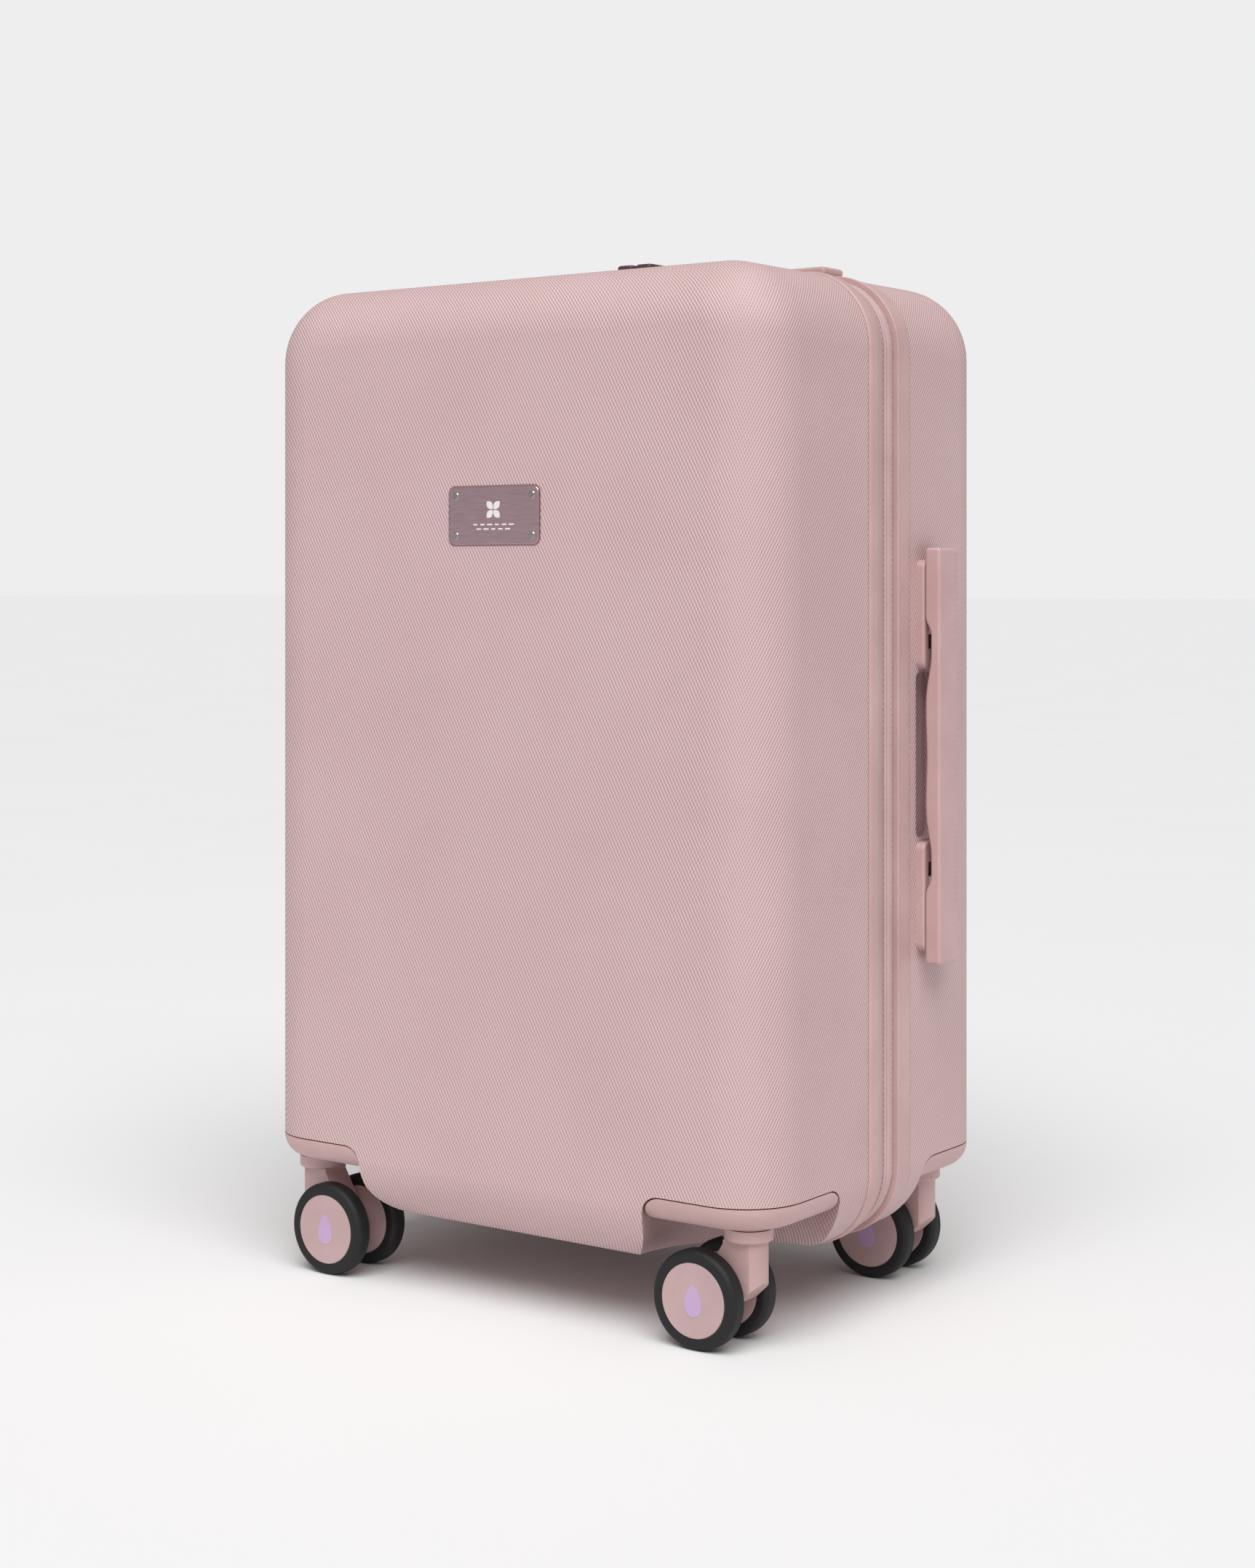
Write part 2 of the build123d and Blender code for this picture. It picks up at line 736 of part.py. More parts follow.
def caster_fork(side, end):
    """Stem, collar, neck and the web that runs down to the axle between the wheels."""
    x, y = side * stem_x, end * stem_y[end]
    way = trail_sign(side)
    hub_z = wheel_radius
    collar = post(x, y, collar_radius, collar_bottom, cap_bottom - 0.4)
    collar = fillet(collar.faces().sort_by(Axis.Z)[0].edges(), 1.2)
    body = collar + post(x, y, stem_radius, collar_bottom, cap_top - 1.6)
    neck = post(x, y, neck_radius, hub_z, collar_bottom)
    with BuildSketch(Plane.XZ) as profile:
        with BuildLine():
            Polyline((-neck_radius, collar_bottom), (-neck_radius, hub_z + 9.5), (1, hub_z - 1),
                     (trail, hub_z - 7), (trail + 7, hub_z), (neck_radius, collar_bottom - 2),
                     (neck_radius, collar_bottom), (-neck_radius, collar_bottom))
        make_face()
    web = extrude(profile.sketch, fork_thickness / 2, both=True)
    if way < 0:
        web = mirror(web, Plane.YZ)
    web = Pos(x, y, 0) * web
    boss = lying(x + way * trail, y, hub_z, 7.0, fork_thickness, "y")
    arm = web & (neck + span(*sorted((x, x + way * 60)), y - 20, y + 20, 0, 80))
    body += arm + boss
    return body - lying(x + way * trail, y, hub_z, axle_radius, 40, "y")


def axle_place(side, end):
    return side * stem_x + trail_sign(side) * trail, end * stem_y[end], wheel_radius


def caster_axle(side, end):
    x, y, z = axle_place(side, end)
    return lying(x, y, z, axle_radius, 2 * (wheel_inner_y + wheel_width - 2.5), "y")


def caster_hub(side, end, face):
    """Hub disc with a blind bore; face is -1 for the wheel nearer the front."""
    x, y, z = axle_place(side, end)
    middle = y + face * (wheel_inner_y + wheel_width / 2)
    disc = lying(x, middle, z, hub_radius, wheel_width, "y")
    faces = disc.faces().sort_by(Axis.Y)
    disc = chamfer(faces[0].edges() + faces[-1].edges(), 0.5)
    disc += lying(x, y + face * (wheel_inner_y - 0.2), z, 6.0, 1.0, "y")
    inner = y + face * (wheel_inner_y - 2)
    outer = y + face * (wheel_inner_y + wheel_width - 2.2)
    bore = axle_radius + running_gap
    return disc - lying(x, (inner + outer) / 2, z, bore, abs(outer - inner), "y")


def caster_tyre(side, end, face):
    x, y, z = axle_place(side, end)
    middle = y + face * (wheel_inner_y + wheel_width / 2)
    tread = lying(x, middle, z, wheel_radius, wheel_width, "y")
    faces = tread.faces().sort_by(Axis.Y)
    tread = fillet(faces[0].edges() + faces[-1].edges(), tyre_round)
    return tread - lying(x, middle, z, hub_radius, wheel_width + 2, "y")


# ---- build ----

os.makedirs("parts", exist_ok=True)

save("rear_shell", rear_shell())
save("front_shell", front_shell())
save("rear_rim", rear_rim())
save("front_rim", front_rim())
save("rear_zip", zip_half(1))
save("front_zip", zip_half(-1))
save("rear_lining", lining(1))
save("front_lining", lining(-1))
save("hinge_strip", hinge_strip())
save("cross_straps", cross_straps())

side_frame, top_frame = handle_frames()
save("side_handle_bar", side_frame * handle_bar(*side_handle))
save("top_handle_bar", top_frame * handle_bar(*top_handle))
save("handle_mounts", handle_mounts())

save("trolley_bezel", trolley_bezel())
save("trolley_base", trolley_base())
save("trolley_outer_tubes", Compound(tube(outer_tube, tube_bottom, cup_floor)))
save("trolley_middle_tubes", trolley_middle())
save("trolley_inner_tubes", trolley_inner())
save("trolley_grip", trolley_grip())
save("trolley_button", trolley_button())

save("badge_plate", badge_plate())
save("badge_rivets", badge_rivets())

save("lock_body", lock_body())
save("lock_button", lock_button())
for number, place in enumerate(dial_places(), start=1):
    save(f"lock_dial_{number}", lock_dial(place))
save("zip_sliders", zip_sliders())
save("zip_puller_left", zip_puller(-1))
save("zip_puller_right", zip_puller(1))

save("front_caster_screws", caster_screws(-1))
save("rear_caster_screws", caster_screws(1))
for name, (side, end) in corners.items():
    save(f"{name}_cap", caster_cap(side, end))
    save(f"{name}_fork", caster_fork(side, end))
    save(f"{name}_axle", caster_axle(side, end))
    for letter, face in (("a", -1), ("b", 1)):
        save(f"{name}_hub_{letter}", caster_hub(side, end, face))
        save(f"{name}_tyre_{letter}", caster_tyre(side, end, face))
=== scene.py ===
import bpy
import bmesh
import json
import math
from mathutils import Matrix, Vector, noise


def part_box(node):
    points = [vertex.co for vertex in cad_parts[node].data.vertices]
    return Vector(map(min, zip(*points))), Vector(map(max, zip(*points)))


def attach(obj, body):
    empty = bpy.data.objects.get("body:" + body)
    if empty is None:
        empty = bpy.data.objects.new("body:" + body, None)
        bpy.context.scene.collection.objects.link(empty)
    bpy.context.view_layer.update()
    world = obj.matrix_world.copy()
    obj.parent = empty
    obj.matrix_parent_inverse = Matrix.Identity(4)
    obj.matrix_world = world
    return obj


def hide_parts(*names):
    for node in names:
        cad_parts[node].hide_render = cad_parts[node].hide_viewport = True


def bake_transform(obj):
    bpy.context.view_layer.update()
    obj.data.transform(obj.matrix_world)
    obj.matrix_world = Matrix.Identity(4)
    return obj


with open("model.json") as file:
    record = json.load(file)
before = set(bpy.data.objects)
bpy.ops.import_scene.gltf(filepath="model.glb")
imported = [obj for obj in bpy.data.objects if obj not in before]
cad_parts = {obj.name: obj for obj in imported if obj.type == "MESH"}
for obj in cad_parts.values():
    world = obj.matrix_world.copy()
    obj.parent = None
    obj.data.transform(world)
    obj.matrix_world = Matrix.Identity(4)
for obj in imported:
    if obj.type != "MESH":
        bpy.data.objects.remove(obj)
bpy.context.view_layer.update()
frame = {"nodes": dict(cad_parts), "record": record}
nodes = frame["nodes"]
scene = bpy.context.scene
mm = 0.001


def linear(hexText, alpha=1.0):   # sRGB hex to Blender's linear colour
    channels = []
    for start in (0, 2, 4):
        value = int(hexText[start:start + 2], 16) / 255
        channels.append(value / 12.92 if value <= 0.04045 else ((value + 0.055) / 1.055) ** 2.4)
    return (*channels, alpha)


def addNode(tree, kind, settings=None, links=None):   # one node, its settings, and its values or links
    node = tree.nodes.new(kind)
    for key, value in (settings or {}).items():
        setattr(node, key, value)
    for key, value in (links or {}).items():
        if isinstance(value, bpy.types.NodeSocket):
            tree.links.new(value, node.inputs[key])
        else:
            node.inputs[key].default_value = value
    return node


def newMaterial(name):   # empty tree with the piece's own coordinates; finishMaterial adds the output
    material = bpy.data.materials.new(name)
    material.use_nodes = True
    tree = material.node_tree
    tree.nodes.clear()
    place = addNode(tree, "ShaderNodeTexCoord").outputs["Object"]
    return material, tree, place


def finishMaterial(material, tree, settings, preview):   # shader with its constants on its own sockets
    shader = addNode(tree, "ShaderNodeBsdfPrincipled", None, settings)
    addNode(tree, "ShaderNodeOutputMaterial", None, {"Surface": shader.outputs["BSDF"]})
    material.diffuse_color = linear(preview)
    return material


def waveScale(pitch):   # diagonal bands repeat every 2 pi / (10 scale) of x + y + z, in metres
    return 2 * math.pi / (10 * pitch * math.sqrt(2))


bands = {"wave_type": "BANDS", "bands_direction": "DIAGONAL", "wave_profile": "SIN"}


def noiseOf(tree, place, scale, detail):
    links = {"Vector": place, "Scale": scale, "Detail": detail}
    return addNode(tree, "ShaderNodeTexNoise", None, links).outputs["Fac"]


def stretched(tree, place, scale):   # coordinates scaled along each axis
    return addNode(tree, "ShaderNodeMapping", None, {"Vector": place, "Scale": scale}).outputs["Vector"]


def rangeOf(tree, value, low, high, fromLow=0.0, fromHigh=1.0):
    links = {"Value": value, "From Min": fromLow, "From Max": fromHigh, "To Min": low, "To Max": high}
    return addNode(tree, "ShaderNodeMapRange", None, links).outputs["Result"]


def mathOf(tree, operation, values, clamp=False):
    settings = {"operation": operation, "use_clamp": clamp}
    return addNode(tree, "ShaderNodeMath", settings, dict(enumerate(values))).outputs[0]


def colourMix(tree, share, dark, light):
    links = {"Factor": share, "A": linear(dark), "B": linear(light)}
    return addNode(tree, "ShaderNodeMix", {"data_type": "RGBA"}, links).outputs["Result"]


def bumpOf(tree, height, distance, strength):
    links = {"Height": height, "Distance": distance, "Strength": strength}
    return addNode(tree, "ShaderNodeBump", None, links).outputs["Normal"]


shellLook = {
    "paintedLitRidge": "E3C7C7", "paintedShadedGroove": "B28E8F",   # dusty pink, with painted highlight on the raised threads and painted shade in the grooves
    "pitch": 1.9 * mm,        # real relief is about 1 mm, drawn coarser so that it shows
    "frontSlope": (1.3, 1.3, 0.7),   # steep lines that fall to the right on the front
    "sideSlope": (1.15, 1.15, -0.85),   # crossing lines that rise to the back on the sides
    "crossShare": 0.22,       # share of the height held by the crossing threads
    "sideTurn": (0.35, 0.75),   # how far a face looks sideways while the threads change over
    "relief": 0.30 * mm,
    "roughness": (0.46, 0.60),
    "cloud": 14,              # size of the faint tone changes, per metre
}


def threads(tree, place, slope):   # one family of slanting threads
    links = {"Vector": stretched(tree, place, slope), "Scale": waveScale(shellLook["pitch"]),
             "Distortion": 0.3, "Detail Scale": 0.02}
    return addNode(tree, "ShaderNodeTexWave", bands, links).outputs["Fac"]


def mouldedPolycarbonate():   # pressed sheet with a twill relief and a soft sheen
    look = shellLook
    material, tree, place = newMaterial("mouldedPolycarbonate")
    first = threads(tree, place, look["frontSlope"])
    second = threads(tree, place, look["sideSlope"])
    facing = addNode(tree, "ShaderNodeTexCoord").outputs["Normal"]
    sideways = addNode(tree, "ShaderNodeSeparateXYZ", None, {"Vector": facing}).outputs["X"]
    turned = mathOf(tree, "ABSOLUTE", [sideways])
    share = rangeOf(tree, turned, look["crossShare"], 1 - look["crossShare"], *look["sideTurn"])
    height = addNode(tree, "ShaderNodeMix", {"data_type": "FLOAT"},
                     {"Factor": share, "A": first, "B": second}).outputs["Result"]
    cloud = noiseOf(tree, place, look["cloud"], 3)
    tone = rangeOf(tree, cloud, -0.05, 0.05, 0.3, 0.7)
    # painted shade and highlight: colour follows the relief height, darker in the grooves and lighter on the
    # ridges, plus random tone
    shade = mathOf(tree, "ADD", [height, tone], True)
    return finishMaterial(material, tree, {
        "Base Color": colourMix(tree, shade, look["paintedShadedGroove"], look["paintedLitRidge"]),
        "Roughness": rangeOf(tree, cloud, *look["roughness"]),
        "Normal": bumpOf(tree, height, look["relief"], 0.9), "IOR": 1.58,   # polycarbonate
    }, "CBADAD")


grainLooks = {
    # name: colour, darker tone, roughness low and high, grain size and height in mm, IOR
    "mouldedTrim": ("CEADAC", "C09E9D", 0.40, 0.50, 0.9, 0.02, 1.49),   # satin ABS, faint spark grain
    "mouldedHub": ("C7AAA9", "BA9C9C", 0.48, 0.58, 1.0, 0.03, 1.49),    # matte wheel cover
    "mouldedInner": ("5E4E50", "524345", 0.50, 0.65, 1.2, 0.04, 1.49),  # hidden bracket, dull nylon
    "mouldedLock": ("5A3B43", "4B3038", 0.34, 0.44, 0.9, 0.02, 1.49),   # dark mauve ABS, soft gloss
    "mouldedDial": ("3E3033", "30262A", 0.42, 0.52, 0.8, 0.02, 1.49),   # number wheels
    "mouldedCoil": ("A98B8E", "957678", 0.38, 0.50, 0.8, 0.02, 1.53),   # nylon zip coil, slight shine
    "castPolyurethane": ("151517", "060607", 0.55, 0.78, 1.3, 0.08, 1.52),   # black tyre, dry and dusty
    "printedLilac": ("CBADD2", "BFA0C7", 0.45, 0.55, 1.0, 0.01, 1.49),  # pad-printed mark on the hubs
    "printedWhite": ("F1ECEA", "E4DEDC", 0.40, 0.50, 1.0, 0.01, 1.49),  # enamel print on the badge
    "sewingThread": ("D9BCBC", "B89899", 0.60, 0.75, 0.7, 0.05, 1.50),  # polyester thread, soft shine
}


def mouldedPlastic(name):   # plastic or rubber with a fine moulded grain and slow tone changes
    light, dark, low, high, grain, height, ior = grainLooks[name]
    material, tree, place = newMaterial(name)
    fine = noiseOf(tree, place, 1 / (grain * mm), 2)
    slow = noiseOf(tree, place, 22, 4)
    mixed = mathOf(tree, "MULTIPLY_ADD", [fine, 0.3, slow])
    share = rangeOf(tree, mixed, 0, 1, 0.45, 0.85)
    return finishMaterial(material, tree, {
        "Base Color": colourMix(tree, share, dark, light), "Roughness": rangeOf(tree, slow, low, high),
        "Normal": bumpOf(tree, fine, height * mm, 0.8), "IOR": ior,
    }, light)


metalLooks = {
    # name: colour, darker tone, roughness low and high, brush direction, line spacing in mm
    # (a small number in the direction makes the lines long on that axis)
    "anodisedBadge": ("CDB1B8", "AC9098", 0.30, 0.44, (0.06, 1, 1), 0.5),     # mauve anodised, brushed across
    "anodisedTube": ("C9C9CC", "B4B4B9", 0.26, 0.38, (1, 1, 0.04), 0.5),      # silver tube, drawn lengthwise
    "castZinc": ("8A8586", "767173", 0.30, 0.46, (1, 1, 1), 0.9),             # die-cast slider, satin plate
    "platedSteel": ("B9B9BB", "A3A3A7", 0.24, 0.36, (1, 1, 1), 0.8),          # zinc-plated screws and axles
    "polishedRivet": ("C4C0C0", "A9A4A5", 0.12, 0.22, (1, 1, 1), 1.0),        # nickel rivets
}
brushDepth = 0.012 * mm


def brushedMetal(name):   # metal with lines or grain from its finishing
    light, dark, low, high, stretch, spacing = metalLooks[name]
    material, tree, place = newMaterial(name)
    lines = noiseOf(tree, stretched(tree, place, stretch), 1 / (spacing * mm), 3)
    return finishMaterial(material, tree, {
        "Base Color": colourMix(tree, lines, dark, light), "Roughness": rangeOf(tree, lines, low, high),
        "Normal": bumpOf(tree, lines, brushDepth, 0.8), "Metallic": 1.0,
    }, light)


clothLooks = {
    # name: thread colour, shadow between threads, thread spacing and relief in mm, roughness, sheen
    "wovenZipTape": ("D8B8B8", "B89596", 1.0, 0.10, 0.82, 0.15),   # pink polyester, threads really 0.5 mm
    "wovenLining": ("BCA0A2", "98797D", 1.3, 0.12, 0.78, 0.25),    # tonal lining, threads really 0.3 mm
    "wovenWebbing": ("7C5C66", "573D46", 1.6, 0.25, 0.80, 0.2),    # ribbed elastic strap
}


def wovenCloth(name):   # plain weave from two crossing wave patterns
    thread, shadow, spacing, relief, roughness, sheen = clothLooks[name]
    material, tree, place = newMaterial(name)
    waves = []
    for way in (place, stretched(tree, place, (1, 1, -1))):
        links = {"Vector": way, "Scale": waveScale(spacing * mm), "Distortion": 0.8}
        waves.append(addNode(tree, "ShaderNodeTexWave", bands, links).outputs["Fac"])
    weave = mathOf(tree, "MULTIPLY", waves)
    fade = noiseOf(tree, place, 30, 5)
    share = mathOf(tree, "MULTIPLY_ADD", [weave, 0.6, fade], True)
    return finishMaterial(material, tree, {
        "Base Color": colourMix(tree, share, shadow, thread), "Normal": bumpOf(tree, weave, relief * mm, 0.9),
        "Roughness": roughness, "Sheen Weight": sheen, "Sheen Roughness": 0.4, "IOR": 1.5,
    }, thread)


materials = {"mouldedPolycarbonate": mouldedPolycarbonate()}
for looks, make in ((grainLooks, mouldedPlastic), (metalLooks, brushedMetal), (clothLooks, wovenCloth)):
    for name in looks:
        materials[name] = make(name)

finishOfSlot = {
    "shell": "mouldedPolycarbonate", "trim": "mouldedTrim", "inner_plastic": "mouldedInner",
    "zip_tape": "wovenZipTape", "lining": "wovenLining", "webbing": "wovenWebbing", "tube": "anodisedTube",
    "badge": "anodisedBadge", "rivet": "polishedRivet", "lock_plastic": "mouldedLock",
    "lock_metal": "castZinc", "dial": "mouldedDial", "steel": "platedSteel", "hub": "mouldedHub",
    "tyre": "castPolyurethane",
}
for part in frame["record"]["subparts"]:
    mesh = nodes[part["node"]].data
    mesh.materials.clear()
    mesh.materials.append(materials[finishOfSlot[part["material_slot"]]])
print("materials ready:", len(materials))


band = {
    "cornerRadius": 41 * mm,   # outline corners of the case
    "count": 520,              # steps round the outline
}
rimLow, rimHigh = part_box("front_rim")
proud = 1.2 * mm               # the rims stand this far out of the case
seamY = (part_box("front_zip")[1].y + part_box("rear_zip")[0].y) / 2
caseLow = Vector((rimLow.x + proud, 0, rimLow.z + proud))
caseHigh = Vector((rimHigh.x - proud, 0, rimHigh.z - proud))


# evenly spaced points on a rounded rectangle, each with its outward direction and the way round
def roundOutline(low, high, radius, count):
    width = high.x - low.x - 2 * radius
    height = high.z - low.z - 2 * radius
    quarter = math.pi * radius / 2
    runs = [height, quarter, width, quarter, height, quarter, width, quarter]
    centres = [(high.x - radius, low.z + radius), (high.x - radius, high.z - radius),
               (low.x + radius, high.z - radius), (low.x + radius, low.z + radius)]
    length = sum(runs)
    points = []
    for step in range(count):
        rest = length * step / count
        number = 0
        while rest > runs[number]:
            rest -= runs[number]
            number += 1
        corner, straight = divmod(number, 2)
        angle = corner * math.pi / 2
        if straight == 0:
            centre = centres[corner]
            along = rest
        else:
            centre = centres[(corner + 1) % 4]
            angle += rest / radius
            along = 0
        outward = Vector((math.cos(angle), 0, math.sin(angle)))
        run = Vector((-outward.z, 0, outward.x))
        points.append((Vector((centre[0], 0, centre[1])) + outward * radius + run * along, outward, run))
    return points


def caseOutline(count):
    return roundOutline(caseLow, caseHigh, band["cornerRadius"], count)


def newPiece(name, mesh, body, material, smooth=True):   # in the scene, with finish and body
    piece = bpy.data.objects.new(name, mesh)
    scene.collection.objects.link(piece)
    mesh.materials.append(materials[material])
    for face in mesh.polygons:
        face.use_smooth = smooth
    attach(piece, body)
    return piece


def meshOf(name, points, faces):
    mesh = bpy.data.meshes.new(name)
    mesh.from_pydata([tuple(point) for point in points], [], faces)
    builder = bmesh.new()
    builder.from_mesh(mesh)
    bmesh.ops.recalc_face_normals(builder, faces=builder.faces)
    builder.to_mesh(mesh)
    builder.free()
    return mesh


def loopMesh(name, outline, section):   # section of (outward, depth) points carried round an outline
    points = []
    for place, outward, run in outline:
        points.extend(place + outward * out + Vector((0, depth, 0)) for out, depth in section)
    size, total = len(section), len(points)
    faces = []
    for start in range(0, total, size):
        for step in range(size):
            ahead = (step + 1) % size
            faces.append((start + step, start + ahead,
                          (start + size + ahead) % total, (start + size + step) % total))
    return meshOf(name, points, faces)


def addBlock(points, faces, place, axes, size, narrow=0.6):   # small block; its outer end is narrower
    start = len(points)
    across, up, out = [axis * length / 2 for axis, length in zip(axes, size)]
    for third in (-1, 1):
        shrink = narrow if third > 0 else 1
        for first, second in ((-1, -1), (1, -1), (1, 1), (-1, 1)):
            points.append(place + across * first * shrink + up * second * shrink + out * third)
    quads = ((3, 2, 1, 0), (4, 5, 6, 7), (0, 1, 5, 4), (1, 2, 6, 5), (2, 3, 7, 6), (3, 0, 4, 7))
    faces.extend(tuple(start + corner for corner in quad) for quad in quads)


zipTape = {
    "depthUnder": 1.9 * mm, "thickness": 0.8 * mm, "seamGap": 0.25 * mm,
    # rise of the rolled edge, and its distance from the seam edge
    "edge": ((0.1 * mm, 3.2 * mm), (0.3 * mm, 2.2 * mm), (0.5 * mm, 1.2 * mm), (0.35 * mm, 0.5 * mm), (0, 0)),
    "toothPitch": 2.0 * mm,   # a number 8 coil is nearer 1.5 mm
    "tooth": (1.2 * mm, 1.5 * mm, 1.3 * mm), "toothUnder": 0.7 * mm, "toothBack": 0.85 * mm,
    "stitchPitch": 3.2 * mm, "stitch": (2.2 * mm, 0.5 * mm, 0.45 * mm),
    "stitchRise": 0.2 * mm, "stitchBack": 4.0 * mm,
}


def zipSide(half, node, body):   # tape with a rolled inner edge, a row of stitches, and its coil behind
    low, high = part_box(node)
    sign = -1 if half == "front" else 1
    seamEdge = seamY + sign * zipTape["seamGap"]
    farEdge = low.y if half == "front" else high.y
    outer = -zipTape["depthUnder"]
    inner = outer - zipTape["thickness"]
    section = [(outer, farEdge), (outer + zipTape["edge"][0][0], (seamEdge + farEdge) / 2)]
    section += [(outer + rise, seamEdge + sign * back) for rise, back in zipTape["edge"]]
    section += [(inner, seamEdge), (inner, farEdge)]
    tape = newPiece(half + "ZipTape", loopMesh(half + "ZipTape", caseOutline(band["count"]), section), body,
                    "wovenZipTape")
    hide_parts(node)
    depthAxis = Vector((0, 1, 0))
    width, tall = caseHigh.x - caseLow.x, caseHigh.z - caseLow.z
    length = 2 * (width + tall) - 8 * band["cornerRadius"] * (1 - math.pi / 4)
    points, faces = [], []
    for place, outward, run in caseOutline(int(length / zipTape["toothPitch"])):
        centre = place + outward * (inner - zipTape["toothUnder"])
        centre += depthAxis * (seamEdge + sign * zipTape["toothBack"])
        addBlock(points, faces, centre, (run, outward, depthAxis * sign), zipTape["tooth"], 0.75)
    newPiece(half + "ZipCoil", meshOf(half + "ZipCoil", points, faces), body, "mouldedCoil",
             False)
    points, faces = [], []
    for place, outward, run in caseOutline(int(length / zipTape["stitchPitch"])):
        centre = place + outward * (outer + zipTape["stitchRise"])
        centre += depthAxis * (seamEdge + sign * zipTape["stitchBack"])
        addBlock(points, faces, centre, (run, depthAxis, outward), zipTape["stitch"])
    newPiece(half + "ZipStitches", meshOf(half + "ZipStitches", points, faces), body, "sewingThread",
             False)


zipSide("front", "front_zip", "front_case")
zipSide("rear", "rear_zip", "rear_case")
print("zips ready")


gusset = {
    "ribs": 3, "rows": 90, "columns": 24, "thickness": 0.6 * mm, "ripple": 0.5 * mm,
    "inset": 0.1 * mm, "sag": 0.15 * mm, "sagTurns": 60,   # sag follows a sine, radians per metre
}


def hingeGusset():   # ribbed cloth strip that joins the halves behind the zip on the left
    low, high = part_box("hinge_strip")
    rows, columns = gusset["rows"], gusset["columns"]
    points = []
    for row in range(rows + 1):
        z = low.z + (high.z - low.z) * row / rows
        for column in range(columns + 1):
            share = column / columns
            ripple = gusset["ripple"] * (0.5 - 0.5 * math.cos(share * gusset["ribs"] * 2 * math.pi))
            sag = gusset["sag"] * math.sin(z * gusset["sagTurns"])
            points.append((low.x + gusset["inset"] + ripple + sag, low.y + (high.y - low.y) * share, z))
    faces = [(row * (columns + 1) + column, row * (columns + 1) + column + 1,
              (row + 1) * (columns + 1) + column + 1, (row + 1) * (columns + 1) + column)
             for row in range(rows) for column in range(columns)]
    mesh = meshOf("hingeGusset", points, faces)
    piece = bpy.data.objects.new("hingeGusset", mesh)
    scene.collection.objects.link(piece)
    mesh.materials.append(materials["wovenWebbing"])
    skin = piece.modifiers.new("clothThickness", "SOLIDIFY")
    skin.thickness = gusset["thickness"]
    skin.offset = 0
    z = (low.z + high.z) / 2
    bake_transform(piece)
    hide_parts("hinge_strip")


hingeGusset()
print("gusset ready")


lining = {
    "cut": 13 * mm,        # the cloth is divided this finely for its wrinkles
    "wrinkle": 1.3 * mm, "wrinkleSize": 46 * mm, "slack": 0.45, "slackSpread": 0.8,
    "floorReach": 3 * mm,  # cloth this near the floor moves in depth only
    "sideReach": 25 * mm, "sideShare": 0.7,   # the sides are held at the seam and loosen over this reach
    "pipingRadius": 1.2 * mm, "pipingCorner": 24 * mm, "pipingLift": 0.8 * mm,
    "pipingInset": 44 * mm, "pipingBottom": 24 * mm, "pipingTop": 26 * mm,
}


# cloth skin, a little slack, with a piped floor panel; floorSide is the way its floor faces
def sewnLining(half, node, body, floorSide):
    low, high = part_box(node)
    builder = bmesh.new()
    builder.from_mesh(nodes[node].data)
    bmesh.ops.remove_doubles(builder, verts=builder.verts, dist=0.01 * mm)
    for axis in range(3):
        normal = Vector([1 if other == axis else 0 for other in range(3)])
        cuts = max(2, int((high[axis] - low[axis]) / lining["cut"]))
        for cut in range(1, cuts):
            place = low.lerp(high, cut / cuts)
            bmesh.ops.bisect_plane(builder, geom=builder.verts[:] + builder.edges[:] + builder.faces[:],
                                   plane_co=place, plane_no=normal)
    bmesh.ops.triangulate(builder, faces=builder.faces)
    floorY = high.y if floorSide > 0 else low.y
    middle = (low + high) / 2
    for vertex in builder.verts:
        spot = vertex.co
        bend = spot / lining["wrinkleSize"]
        wave = noise.noise(bend) + 0.5 * noise.noise(bend * 2.3)
        loose = min(1, max(0, lining["slack"] + lining["slackSpread"] * wave))
        slack = lining["wrinkle"] * loose
        if abs(spot.y - floorY) < lining["floorReach"]:
            vertex.co.y -= floorSide * slack
        else:
            inward = Vector((middle.x - spot.x, 0, middle.z - spot.z)).normalized()
            reach = min(1, abs(spot.y - seamY) / lining["sideReach"])
            vertex.co += inward * slack * reach * lining["sideShare"]
    mesh = bpy.data.meshes.new(half + "Lining")
    builder.to_mesh(mesh)
    builder.free()
    cloth = newPiece(half + "Lining", mesh, body, "wovenLining")
    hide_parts(node)
    inset = lining["pipingInset"]
    topInset = inset + (lining["pipingTop"] if floorSide > 0 else 0)
    panelLow = Vector((caseLow.x + inset, 0, caseLow.z + inset + lining["pipingBottom"]))
    panelHigh = Vector((caseHigh.x - inset, 0, caseHigh.z - topInset))
    radius = lining["pipingRadius"]
    floorInner = floorY - floorSide * (lining["pipingLift"] + lining["wrinkle"])
    circle = [(radius * math.cos(turn * math.pi / 4), floorInner + radius * math.sin(turn * math.pi / 4))
              for turn in range(8)]
    outline = roundOutline(panelLow, panelHigh, lining["pipingCorner"], 200)
    newPiece(half + "LiningPiping", loopMesh(half + "LiningPiping", outline, circle), body,
             "wovenWebbing")


sewnLining("front", "front_lining", "front_case", -1)
sewnLining("rear", "rear_lining", "rear_case", 1)
print("linings ready")


straps = {
    "angle": 33, "width": 30 * mm, "thickness": 1.5 * mm, "bow": 1.2 * mm, "steps": 30,
    "start": 16 * mm, "halfLength": 196 * mm,   # from the middle of the buckle
    "tabLength": 26 * mm, "tabStitches": 8, "stitchRise": 0.3 * mm, "layerStep": 1.8 * mm,
    "endStitch": (2.2 * mm, 0.6 * mm, 0.6 * mm), "sideStitch": (2.0 * mm, 0.6 * mm, 0.6 * mm),
    "buckle": (46 * mm, 54 * mm, 7.5 * mm), "buckleUnder": 5.0 * mm, "buckleBevel": 1.6 * mm,
}


